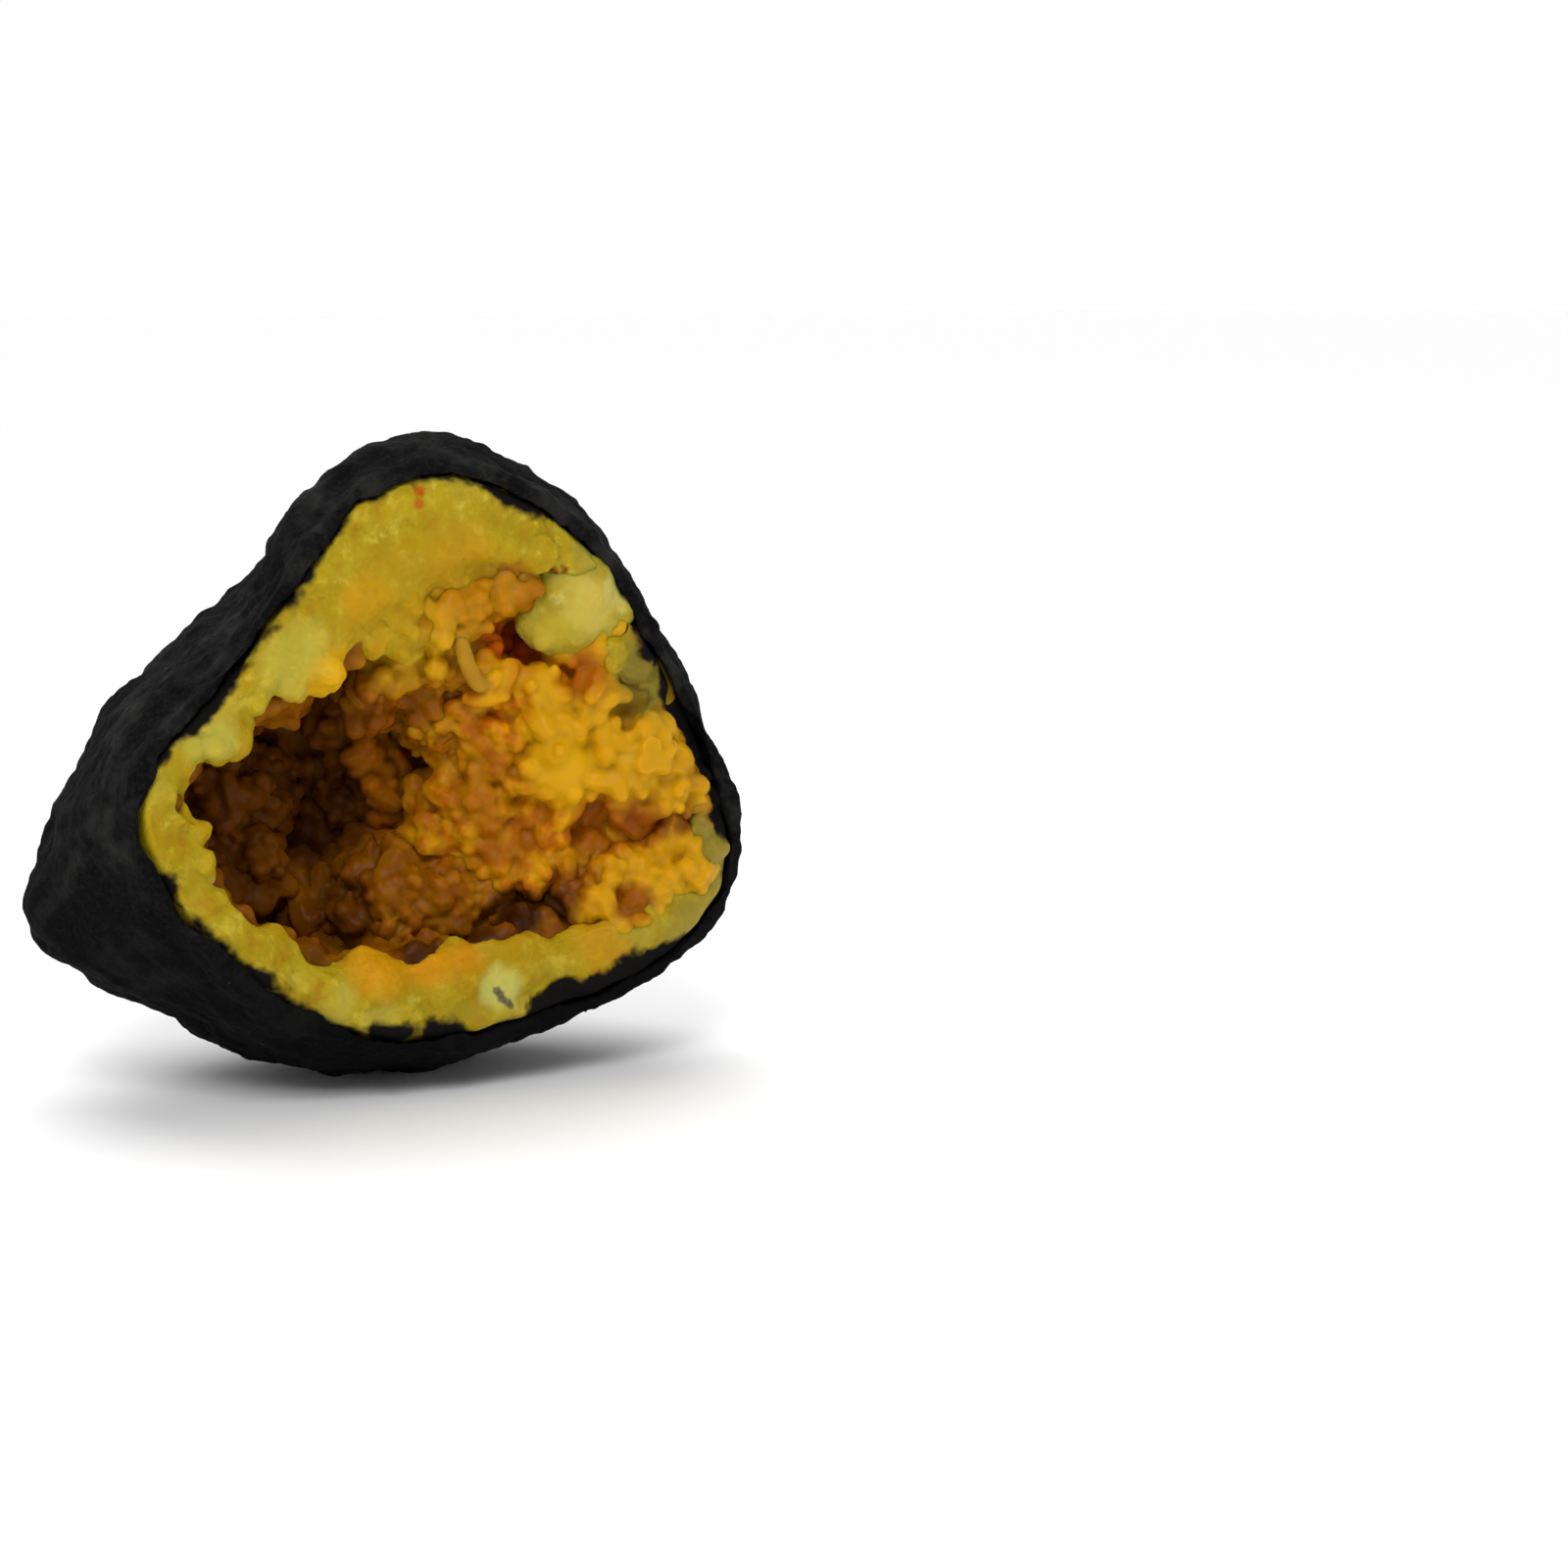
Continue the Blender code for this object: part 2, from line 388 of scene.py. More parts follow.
crust = evenly(piece("crust", solid_of("rind")), CRUST_GRAIN, 5)
crust_points = points(crust.data)
crust_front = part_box("rind")[0].y
crust_depth = (crust_points[:, 1] - crust_front) / MM
fold = ridge(crust_depth, LOBE_HEIGHT, 10, 3) + ridge(crust_depth, -CREASE_DEPTH, 4, 2)
fold *= MM * step(crust_points[:, 2], 0.026, 0.040) * (1 - step(crust_points[:, 0], -0.004, 0.010))
corner = 1.1 * close_to(crust.data, LOW_CORNER, 8.0) - close_to(crust.data, ABOVE_CORNER, 6.0)
crust_points += normals(crust.data) * (fold + corner * MM)[:, None]
put(crust.data, crust_points)
outward = crust_points - np.array(CRUST_HEART)
inner_side = (normals(crust.data) * outward).sum(1) < -0.2 * np.linalg.norm(outward, axis=1)
inner_side &= crust_points[:, 1] > crust_front + 6 * MM
thin_out(crust, inner_side, 0.05)
grow(crust, rough_crust_tree(), {
    "Dents": 3.0 * MM, "Lumps": 1.5 * MM, "Grains": 0.7 * MM, "Pits": 0.3 * MM,
    "Material": coal.material,
})
soften(crust, 2)
keep_above(crust.data, 2, 0.0)
crust.data.shade_smooth()
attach(crust, "root")
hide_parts("rind")


# ---- The calcite wall -----------------------------------------------------
# Massive yellow calcite inside the crust. Its broken face is sugary and worn
# back towards the hollow; knobs and crystals round off its edge there.
WALL_GRAIN = 0.36 * MM
COARSE_GRAIN = 0.6 * MM
FOREMOST = -26.9 * MM
# Centre and half size of each knob, in millimetres.
LIP_KNOBS = (
    ((-8.6, -22.5, 13.6), (4.8, 3.1, 4.5)), ((-3.2, -21.6, 11.6), (4.0, 2.8, 3.0)),
    ((1.6, -22.4, 13.2), (3.8, 3.0, 4.3)), ((6.6, -22.6, 12.2), (3.4, 2.8, 4.2)),
    ((12.0, -21.6, 13.4), (4.2, 2.8, 3.6)), ((17.6, -22.4, 13.8), (4.8, 3.0, 4.4)),
    ((23.0, -22.2, 13.8), (4.2, 2.8, 3.2)), ((-15.6, -22.4, 14.4), (4.2, 2.6, 3.4)),
    ((-21.4, -22.4, 18.8), (3.6, 2.4, 3.0)), ((-31.8, -22.4, 31.4), (3.6, 2.6, 3.6)),
    ((-26.4, -22.4, 43.8), (4.0, 2.4, 3.2)), ((-16.0, -22.4, 50.4), (5.2, 2.6, 3.4)),
    ((27.2, -22.0, 44.6), (3.0, 2.6, 4.0)),
    ((16.0, -22.6, 60.2), (4.2, 2.4, 1.8)), ((-5.4, -22.0, 54.0), (3.6, 2.4, 3.2)),
    ((-2.0, -22.0, 56.8), (3.8, 2.2, 3.0)), ((-3.6, -21.0, 51.6), (2.8, 2.2, 2.4)),
    ((3.0, -22.0, 58.8), (3.6, 2.0, 2.0)), ((-22.4, -22.4, 19.6), (2.8, 2.4, 2.2)),
    ((-19.6, -22.4, 17.8), (2.8, 2.4, 2.4)), ((-16.8, -22.4, 16.4), (2.8, 2.4, 2.4)),
    ((-14.2, -22.4, 14.8), (2.6, 2.4, 2.4)),
)
# Middle, radius and depth of each hollow in the broken face, in millimetres.
WORN_BACK = (
    ((1.6, -24.5, 53.0), 7.5, 3.5), ((5.8, -24.5, 56.4), 7.0, 3.5),
    ((11.5, -24.5, 57.4), 5.5, 2.5), ((31.5, -24.5, 39.0), 6.0, 2.6),
    ((34.6, -24.5, 33.5), 6.0, 2.4), ((28.0, -24.5, 44.5), 5.0, 1.8),
    ((25.4, -24.5, 57.4), 2.6, 1.4), ((30.0, -24.5, 24.0), 5.0, 1.6),
)
# More places, with their radii, where crystals sprout from the broken face.
SPROUTING = (((37.4, -24.0, 26.0), 5.0), ((35.0, -24.5, 17.5), 5.0), ((27.0, -24.5, 53.0), 3.0))


def with_lumps(mesh, lumps):
    """Adds egg-shaped lumps, in millimetres, to a solid that is fused later."""
    bm = bmesh.new()
    bm.from_mesh(mesh)
    for centre, half_size in lumps:
        for vert in bmesh.ops.create_icosphere(bm, subdivisions=3, radius=1.0)["verts"]:
            vert.co = (Vector(centre) + vert.co * Vector(half_size)) * MM
    bm.to_mesh(mesh)
    bm.free()
    return mesh


def reach(mesh, node, limit):
    """How far each vertex is from a CAD node's surface, up to a limit."""
    target = solid_of(node)
    corners = [vertex.co for vertex in target.vertices]
    tree = BVHTree.FromPolygons(corners, [face.vertices[:] for face in target.polygons])
    gaps = [tree.find_nearest(vertex.co, limit)[3] for vertex in mesh.vertices]
    return np.array([limit if gap is None else gap for gap in gaps])


def relief(mesh, rounds):
    """How deep each vertex lies in a dip, in millimetres; peaks are negative."""
    edges = np.empty(len(mesh.edges) * 2, np.int32)
    mesh.edges.foreach_get("vertices", edges)
    ends = edges.reshape(-1, 2)
    one = np.concatenate((ends[:, 0], ends[:, 1]))
    two = np.concatenate((ends[:, 1], ends[:, 0]))
    start = points(mesh).astype(float)
    count = np.maximum(np.bincount(one, minlength=len(start)), 1)
    soft = start.copy()
    for _ in range(rounds):
        mean = [np.bincount(one, soft[two, axis], len(start)) / count for axis in range(3)]
        soft = 0.4 * soft + 0.6 * np.stack(mean, 1)
    return ((soft - start) * normals(mesh)).sum(1) / MM


def marked(nodes, name):
    """The numbers that mark() keeps under this name."""
    return nodes.add("GeometryNodeInputNamedAttribute", {"data_type": "FLOAT"}, {"Name": name})


def crystal_growth_tree():
    """Crystals, or larger clumps, all over the part of a surface marked growing."""
    sizes = dict.fromkeys(("Spacing", "Width", "Length", "Lean", "Sink"), "Float")
    others = {"Seed": "Int", "Material": "Material"}
    nodes, wires, out = geometry_tree("crystal growth", {**sizes, **others})
    spots = nodes.add("GeometryNodeDistributePointsOnFaces", {"distribute_method": "POISSON"}, {
        "Mesh": wires["Geometry"], "Distance Min": wires["Spacing"], "Density Max": 3.0e6,
        "Density Factor": marked(nodes, "growing"), "Seed": wires["Seed"],
    })
    face_normal = Wire(nodes, spots.socket.node.outputs["Normal"])

    def random(kind, low, high, shift, output):
        values = {"Seed": wires["Seed"] + shift}
        first = {"FLOAT_VECTOR": 0, "FLOAT": 2}[kind]
        values[first], values[first + 1] = low, high
        return nodes.add("FunctionNodeRandomValue", {"data_type": kind}, values, output=output)

    stray = random("FLOAT_VECTOR", (-1.0, -1.0, -1.0), (1.0, 1.0, 1.0), 1, 0)
    leaning = {0: face_normal, 1: scaled(nodes, stray, wires["Lean"])}
    axis = nodes.add("ShaderNodeVectorMath", {"operation": "ADD"}, leaning)
    turned = nodes.add("FunctionNodeAlignRotationToVector", {"axis": "Z"}, {"Vector": axis})
    size = random("FLOAT", 0.6, 1.5, 2, 1)
    girth = random("FLOAT", 0.85, 1.2, 4, 1) * size * wires["Width"] * 0.5
    length = random("FLOAT", 0.75, 1.3, 3, 1) * size * wires["Length"] * 0.5
    scale = nodes.add("ShaderNodeCombineXYZ", {}, {0: girth, 1: girth, 2: length})
    sunk = scaled(nodes, face_normal, random("FLOAT", -1.0, 0.4, 5, 1) * wires["Sink"])
    grain = nodes.add("GeometryNodeMeshUVSphere", {}, {"Segments": 6, "Rings": 5, "Radius": 1.1})
    crystals = nodes.add("GeometryNodeInstanceOnPoints", {}, {
        "Points": shifted(nodes, spots, sunk), "Instance": grain,
        "Rotation": turned, "Scale": scale,
    })
    real = nodes.add("GeometryNodeRealizeInstances", {}, {0: crystals})
    joined = nodes.add("GeometryNodeJoinGeometry")
    nodes.tree.links.new(wires["Geometry"].socket, joined.socket.node.inputs[0])
    nodes.tree.links.new(real.socket, joined.socket.node.inputs[0])
    return end_tree(nodes, wires, out, joined)


def broken_calcite_tree():
    """Breaks up the face: broad swells, soft lumps and sugary grains."""
    heights = dict.fromkeys(("Swells", "Lumps", "Sugar", "Proud"), "Float")
    nodes, wires, out = geometry_tree("broken calcite", {**heights, "Material": "Material"})
    lump = 0.45 - cell_gap(nodes, 3.4 * MM, "SMOOTH_F1")
    rise = swell(nodes, 9 * MM) * wires["Swells"] + lump * wires["Lumps"]
    rise = rise + swell(nodes, 0.8 * MM, 2.0) * wires["Sugar"]
    rise = rise * marked(nodes, "shown") + wires["Proud"]
    return end_tree(nodes, wires, out, raised(nodes, wires, rise))


growth = crystal_growth_tree()
breakage = broken_calcite_tree()
WAX = {
    "Subsurface Weight": 0.85,
    "Subsurface Radius": (1.0, 0.5, 0.1),
    "Subsurface Scale": 2.0 * MM,
    "Specular IOR Level": 0.09,
    "IOR": 1.5,
}


class Calcite(Finish):
    """Waxy, cloudy calcite, with black crust smeared over it where asked."""

    def __init__(self, name, roughness):
        super().__init__(name, {**WAX, "Roughness": roughness})
        axes = self.add("ShaderNodeSeparateXYZ", {}, {0: self.place})
        self.across, self.inwards, self.up = [
            Wire(self, axes.socket.node.outputs[axis]) / MM for axis in "XYZ"
        ]

    def lay_patches(self, tone, spots):
        """Lays ragged patches of colour on a tone."""
        for spot, radius, patch, share in spots:
            size = min(radius, 3.0) * MM
            place = self.near(Vector(spot) * MM, radius * MM, 0.45 * size, size)
            tone = self.blend(place * share, tone, patch)
        return tone

    def smear(self, share):
        """Covers a share of the surface with the crust's black."""
        soot = {"Base Color": colour(18, 17, 16), **COAL}
        black = self.add("ShaderNodeBsdfPrincipled", {}, soot)
        values = {0: share, 1: Wire(self, self.shader.outputs[0]), 2: black}
        end = self.tree.nodes["Material Output"].inputs["Surface"]
        self.plug(end, self.add("ShaderNodeMixShader", {}, values))


# Place and radius of each stain in millimetres, its colour and its strength.
LIP_STAINS = (
    ((-2.9, -24.5, 69.4), 1.1, colour(176, 74, 3), 0.9),
    ((-3.2, -24.5, 67.9), 1.0, colour(176, 84, 3), 0.8),
    ((9.0, -22.0, 60.0), 2.4, colour(150, 84, 4), 0.7),
    ((2.0, -24.5, 62.0), 5.0, colour(176, 134, 14), 0.6),
    ((-10.0, -24.5, 57.5), 4.0, colour(186, 142, 12), 0.7),
    ((-18.0, -24.5, 50.8), 6.0, colour(178, 166, 62), 0.7),
    ((-28.5, -24.5, 42.5), 4.0, colour(176, 168, 66), 0.7),
    ((-14.0, -23.5, 49.4), 4.2, colour(216, 162, 8), 0.8),
    ((-8.6, -22.5, 15.4), 5.2, colour(200, 140, 6), 0.8),
    ((-2.0, -22.5, 15.4), 4.0, colour(200, 138, 6), 0.8),
    ((2.6, -22.5, 15.0), 3.2, colour(196, 134, 8), 0.8),
    ((6.2, -24.5, 12.2), 3.4, colour(190, 186, 96), 0.85),
    ((20.0, -22.5, 15.8), 5.0, colour(190, 138, 10), 0.6),
    ((35.5, -24.5, 25.5), 8.0, colour(130, 118, 46), 0.8),
    ((31.5, -24.5, 16.0), 6.0, colour(142, 128, 48), 0.8),
    ((27.0, -24.5, 47.5), 7.0, colour(122, 108, 38), 0.9),
    ((26.4, -24.5, 52.6), 3.4, colour(136, 92, 16), 0.8),
    ((31.0, -24.0, 39.5), 6.0, colour(186, 122, 6), 0.85),
    ((34.6, -24.0, 34.0), 5.5, colour(180, 120, 8), 0.8),
    ((24.4, -24.5, 55.8), 2.6, colour(120, 54, 4), 0.9),
    ((19.5, -24.5, 61.5), 4.5, colour(152, 140, 50), 0.8),
    ((8.5, -22.0, 57.6), 4.4, colour(132, 78, 6), 0.7),
    ((15.0, -24.0, 60.0), 0.9, colour(112, 62, 6), 0.9),
    ((13.8, -24.0, 59.5), 0.9, colour(112, 62, 6), 0.9),
    ((12.6, -24.0, 59.1), 1.1, colour(120, 66, 6), 0.9),
    ((11.2, -24.0, 58.6), 1.4, colour(140, 84, 8), 0.8),
    ((-14.0, -23.0, 12.6), 3.4, colour(190, 176, 70), 0.6),
    ((-8.6, -24.0, 9.6), 3.4, colour(190, 174, 66), 0.6),
    ((1.0, -22.0, 54.6), 6.0, colour(160, 106, 8), 0.7),
    ((5.4, -25.0, 12.0), 0.7, colour(84, 78, 66), 0.8),
    ((5.8, -25.0, 11.5), 0.8, colour(84, 78, 66), 0.8),
    ((6.2, -25.0, 11.0), 0.8, colour(84, 78, 66), 0.8),
    ((6.6, -25.0, 10.5), 0.8, colour(84, 78, 66), 0.8),
    ((7.0, -25.0, 10.0), 0.7, colour(84, 78, 66), 0.8),
)
sugar = Calcite("yellow calcite", 0.5)
sugar_patch = sugar.noise(6 * MM, 3.0, 0.6).rise(0.35, 0.65)
sugar_tone = sugar.blend(sugar_patch, colour(158, 134, 10), colour(170, 148, 22))
sugar_mottle = sugar.noise(2.4 * MM, 4.0, 0.65, (0.1, 0.4, 0.0))
sugar_tone = sugar.blend(sugar_mottle.rise(0.5, 0.7) * 0.7, sugar_tone, colour(196, 176, 58))
sugar_brown = (1 - sugar_mottle.rise(0.32, 0.48)) * 0.6
sugar_tone = sugar.blend(sugar_brown, sugar_tone, colour(160, 112, 6))
sugar_cloud = sugar.noise(8 * MM, 2.0, 0.5, (0.3, 0.1, 0.2))
sugar_tone = sugar.blend(sugar_cloud.rise(0.5, 0.7) * 0.6, sugar_tone, colour(166, 148, 50))
sugar_outside = sugar.attribute("to crust") / MM
sugar_tone = sugar.blend(sugar_outside.rise(4.0, 8.0) * 0.45, sugar_tone, colour(176, 136, 6))
# Painted shade: the broken face is painted darker orange-brown in its dips.
sugar_dip_shade = sugar.attribute("dip").rise(0.05, 0.45) * 0.75
sugar_tone = sugar.blend(sugar_dip_shade, sugar_tone, colour(136, 74, 4))
sugar_tone = sugar.lay_patches(sugar_tone, LIP_STAINS)
sugar.wire(Base_Color=sugar_tone)
sugar.bump(sugar.noise(0.7 * MM, 4.0, 0.7), 0.2 * MM)
sugar_border = sugar_outside + (sugar.noise(4.5 * MM, 3.0, 0.5) - 0.5) * 6.0
sugar_under = sugar.across.rise(8.0, 14.0) * (1 - sugar.up.rise(11.0, 19.0))
sugar_right = sugar.across.rise(26.0, 32.0) * sugar.up.rise(24.0, 30.0)
sugar_left = sugar.near(Vector((-35.4, -24.5, 34.0)) * MM, 7.5 * MM)
sugar_border = sugar_border - sugar_under * 2.4 - sugar_right * 1.2 + sugar_left * 2.6
sugar.smear(1 - sugar_border.rise(0.3, 1.5))

wall_solid = with_lumps(solid_of("calcite_wall"), LIP_KNOBS)
wall = evenly(piece("broken_wall", wall_solid), COARSE_GRAIN, 8)
wall_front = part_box("calcite_wall")[0].y
wall_points = points(wall.data)
face = 1 - step(wall_points[:, 1] - wall_front, 1 * MM, 5 * MM)
edge_gap = reach(wall.data, "druse_lining", 5 * MM)
worn_away = 1.2 * MM * (1 - step(edge_gap, 0.5 * MM, 4 * MM))
for spot, radius, depth in WORN_BACK:
    worn_away = np.maximum(worn_away, depth * MM * close_to(wall.data, spot, radius))
wall_points[:, 1] += worn_away * face
put(wall.data, wall_points)
wall_points /= MM
sprouting = 1 - step(edge_gap, 1.2 * MM, 2.4 * MM)
for spot, radius, _ in WORN_BACK:
    sprouting = np.maximum(sprouting, close_to(wall.data, spot, radius))
for spot, radius in SPROUTING:
    sprouting = np.maximum(sprouting, close_to(wall.data, spot, radius))
sprouting *= 1 - step(wall_points[:, 1] - wall_front / MM, 4, 6)
sprouting *= 1 - (1 - step(wall_points[:, 0], 30, 33)) * (1 - step(wall_points[:, 2], 24, 30))
sprouting *= step(reach(wall.data, "rind", 5 * MM), 1.4 * MM, 2.2 * MM)
mark(wall.data, "growing", sprouting)
grow(wall, growth, {
    "Spacing": 2.1 * MM, "Width": 2.6 * MM, "Length": 3.0 * MM, "Lean": 1.8, "Sink": 1.3 * MM,
    "Seed": 2, "Material": sugar.material,
})
evenly(wall, WALL_GRAIN, 6)
thin_out(wall, points(wall.data)[:, 1] > wall_front + 8 * MM, 0.06)
shown = 1 - step(points(wall.data)[:, 1], wall_front + 5 * MM, wall_front + 8 * MM)
mark(wall.data, "shown", shown * step(reach(wall.data, "rind", 2 * MM), 0.3 * MM, 1.5 * MM))
grow(wall, breakage, {
    "Swells": 2.4 * MM, "Lumps": 1.8 * MM, "Sugar": 0.6 * MM, "Proud": 0.0,
    "Material": sugar.material,
})
keep_above(wall.data, 1, FOREMOST)
mark(wall.data, "dip", relief(wall.data, 10))
mark(wall.data, "to crust", reach(wall.data, "rind", 8 * MM))
wall.data.shade_smooth()
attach(wall, "root")
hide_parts("calcite_wall")


# ---- The druse ------------------------------------------------------------
# The lining of the hollow: clumps of calcite covered with waxy crystals like
# grains of rice, grown together where they touch.
LINING_LUMPS = (  # centre and radius of each, in millimetres
    ((-0.1, 7.5, 22.8), 4.2), ((3.5, 5.5, 21.8), 4.4), ((-9.9, 8.5, 33.6), 4.2),
    ((-0.8, 12.5, 36.5), 4.2), ((-4.0, 12.5, 38.7), 3.8), ((-6.1, 5.5, 20.7), 4.0),
    ((1.4, 13.5, 27.7), 4.0), ((-11.7, 5.5, 27.7), 3.5), ((-16.5, 1.5, 22.8), 3.6),
)
TUBE = (  # a thin tube of calcite that hangs at the top
    ((2.8, -22.4, 51.8), 1.2), ((3.1, -22.4, 50.7), 1.2), ((3.4, -22.4, 49.7), 1.2),
    ((3.8, -22.4, 48.7), 1.2), ((4.4, -22.2, 47.7), 1.2), ((5.2, -22.0, 46.9), 1.2),
)
# Real stains and tints in the hollow, together with painted shade and painted light, as marked
# below.
DRUSE_STAINS_SHADE_AND_LIGHT = (  # like LIP_STAINS
    ((11.9, -16.5, 51.1), 4.0, colour(84, 28, 1), 0.95),
    ((14.0, -17.0, 48.8), 3.0, colour(150, 66, 2), 0.8),
    ((22.0, -18.5, 47.0), 5.0, colour(150, 74, 3), 0.75),
    ((15.0, -19.0, 43.2), 5.0, colour(196, 132, 6), 0.7),
    ((26.2, -23.0, 46.2), 6.5, colour(122, 104, 28), 0.9),
    ((34.8, -21.0, 25.0), 4.5, colour(142, 122, 36), 0.7),
    ((26.5, -22.0, 29.6), 4.4, colour(126, 58, 1), 0.9),
    ((31.2, -22.5, 29.6), 3.6, colour(108, 48, 1), 0.9),
    ((21.0, -20.5, 29.0), 4.4, colour(136, 68, 2), 0.85),
    ((18.4, -19.5, 22.3), 4.6, colour(120, 58, 2), 0.85),
    ((26.5, -19.0, 18.6), 4.0, colour(140, 70, 2), 0.85),
    # Painted light: the middle of the bright boss is painted brighter, as lit.
    ((15.9, -21.5, 36.8), 6.5, colour(206, 158, 10), 0.8),
    ((29.5, -20.5, 24.0), 4.0, colour(196, 138, 4), 0.8),
    ((7.9, -1.0, 26.6), 5.5, colour(146, 82, 3), 0.9),
    ((4.0, 0.0, 33.5), 5.5, colour(134, 74, 2), 0.9),
    ((4.0, 2.0, 39.5), 5.0, colour(146, 90, 6), 0.9),
    ((9.0, 0.0, 39.5), 4.5, colour(150, 90, 5), 0.9),
    ((-2.0, -20.0, 53.0), 9.0, colour(190, 146, 14), 0.95),
    ((6.0, -20.0, 57.0), 9.0, colour(172, 118, 6), 0.95),
    ((12.0, -20.0, 57.0), 5.0, colour(160, 98, 4), 0.9),
    ((4.0, -16.5, 49.6), 6.0, colour(164, 106, 6), 0.9),
    ((6.5, -12.0, 43.5), 7.0, colour(160, 100, 5), 0.85),
    ((9.4, -19.0, 51.6), 3.2, colour(176, 80, 2), 0.9),
    ((12.6, -16.5, 51.4), 3.0, colour(130, 44, 1), 0.95),
    ((18.0, -23.0, 47.5), 4.5, colour(152, 74, 3), 0.85),
    ((24.0, -24.0, 20.0), 3.6, colour(130, 62, 2), 0.85),
    ((7.5, -17.5, 35.0), 5.5, colour(146, 82, 4), 0.65),
    ((10.6, -18.0, 28.0), 5.5, colour(146, 84, 4), 0.65),
    # Painted light: these two patches in the middle cluster are painted brighter to make up for
    # the shade they lie in.
    ((2.0, -2.0, 35.2), 5.5, colour(190, 114, 6), 0.85),
    ((4.8, -2.0, 27.7), 5.5, colour(182, 108, 6), 0.85),
    ((-10.0, 0.0, 22.0), 5.0, colour(156, 92, 4), 0.8),
    # Painted shade: a dark patch low in the hollow, behind the lip.
    ((-5.5, -8.0, 19.4), 6.0, colour(84, 40, 2), 0.75),
    ((4.5, -11.0, 20.8), 6.0, colour(124, 68, 3), 0.7),
    ((33.0, -22.0, 36.0), 5.0, colour(158, 108, 10), 0.8),
    # Painted shade: this patch and the next six are dark ones deep at the left and low behind the
    # lip.
    ((-1.8, 0.5, 33.0), 3.6, colour(56, 24, 1), 0.9),
    ((-5.5, 5.0, 28.2), 8.0, colour(92, 48, 3), 0.7),
    ((15.5, -12.0, 18.0), 7.5, colour(54, 22, 1), 0.9),
    ((11.6, -18.6, 19.4), 4.6, colour(52, 20, 1), 0.95),
    ((17.0, -18.6, 19.4), 4.4, colour(56, 24, 1), 0.95),
    ((5.0, -19.6, 18.4), 4.6, colour(60, 26, 1), 0.9),
    ((-2.0, -20.0, 16.6), 4.6, colour(60, 26, 1), 0.85),
    *((spot, 2.0, colour(156, 118, 28), 0.6) for spot, _ in TUBE),
)
BARE_SPOTS = (  # where no crystals grow, with the radius of each
    ((15.9, -23.0, 36.8), 6.0), ((25.5, -22.5, 46.5), 7.0),
    *((spot, size + 1.8) for spot, size in TUBE),
)
HOLLOW_HEART = np.array((0.0, -0.012, 0.036))


def amber(name, deep, middle, bright, front, low_front_shade, cleft_shade):
    """Calcite with painted shade: darker in dips, in clefts, deep in the hollow and low at the
    front, so the tops stay brighter.
    """
    wax = Calcite(name, 0.4)
    tone = wax.blend(wax.noise(4 * MM, 3.0, 0.6).rise(0.38, 0.62), middle, bright)
    # Painted shade: dips are painted towards the middle tone, so the crystal tops stay brighter.
    tone = wax.blend(wax.attribute("dip").rise(-0.05, 0.22) * 0.4, tone, middle)
    # Painted shade: deeper into the hollow and further left, the tone is painted towards the deep
    # colour.
    wander = (wax.noise(6 * MM, 2.0) - 0.5) * 6.0
    far = (wax.inwards * 0.55 - wax.across * 0.45 + wander).rise(-19.0, 8.0)
    tone = wax.blend(far * 0.92, tone, deep)
    # Painted shadow: below about 18 to 28 mm the lining's front edge is painted dark, as if shaded
    # by the lip.
    front = wax.blend(wax.up.rise(18.0, 28.0), low_front_shade, front)
    tone = wax.blend(1 - wax.inwards.rise(-24.5, -20.5), tone, front)
    tone = wax.lay_patches(tone, DRUSE_STAINS_SHADE_AND_LIGHT)
    # Painted shade in the clefts between clumps.
    tone = wax.blend(wax.attribute("cleft_shade").rise(0.1, 1.5) * 0.8, tone, cleft_shade)
    wax.wire(Base_Color=tone)
    wax.bump(wax.noise(0.5 * MM, 3.0, 0.6), 0.05 * MM)
    return wax.material


def facing_in(mesh):
    """1 where the surface faces the middle of the hollow, -1 where it faces away."""
    inward = HOLLOW_HEART - points(mesh)
    inward /= np.linalg.norm(inward, axis=1)[:, None]
    return (normals(mesh) * inward).sum(1)


def unseen(mesh):
    """The lining's outer side, which lies against the wall."""
    behind = points(mesh)[:, 1] > wall_front + 8 * MM
    return (facing_in(mesh) < -0.35) & behind & (relief(mesh, 20) < 0.25)


def crystal_piece(name, node, material, lumps, shrink, stages, front=FOREMOST):
    """A CAD solid overgrown with clumps, then crystals, and fused each time."""
    eggs = [(centre, (size,) * 3) for centre, size in lumps]
    obj = evenly(piece(name, solid_of(node)), COARSE_GRAIN, 3)
    put(obj.data, points(obj.data) - normals(obj.data) * shrink)
    keep_above(obj.data, 1, front)
    obj.data = with_lumps(obj.data, eggs)
    evenly(obj, COARSE_GRAIN, 2)
    for sizes, growing, fused in stages:
        mark(obj.data, "growing", growing(obj.data))
        grow(obj, growth, {**sizes, "Material": material})
        evenly(obj, fused, 6)
    keep_above(obj.data, 1, FOREMOST)
    if node == "druse_lining":
        thin_out(obj, unseen(obj.data), 0.05)
    obj.data.materials.clear()
    obj.data.materials.append(material)
    mark(obj.data, "dip", relief(obj.data, 8))
    mark(obj.data, "cleft_shade", relief(obj.data, 90))
    obj.data.shade_smooth()
    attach(obj, "root")
    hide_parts(node)


def inner_face(mesh):
    """Crystals grow on the lining's hollow side and over its front edge."""
    facing = np.maximum(facing_in(mesh), -0.8 * normals(mesh)[:, 1])
    return step(facing, 0.0, 0.4) * step(points(mesh)[:, 1] - wall_front, 2.4 * MM, 3.6 * MM)


def inner_face_deep(mesh):
    """The same, but well behind the broken face, where there's room for clumps."""
    return inner_face(mesh) * step(points(mesh)[:, 1] - wall_front, 6 * MM, 10 * MM)


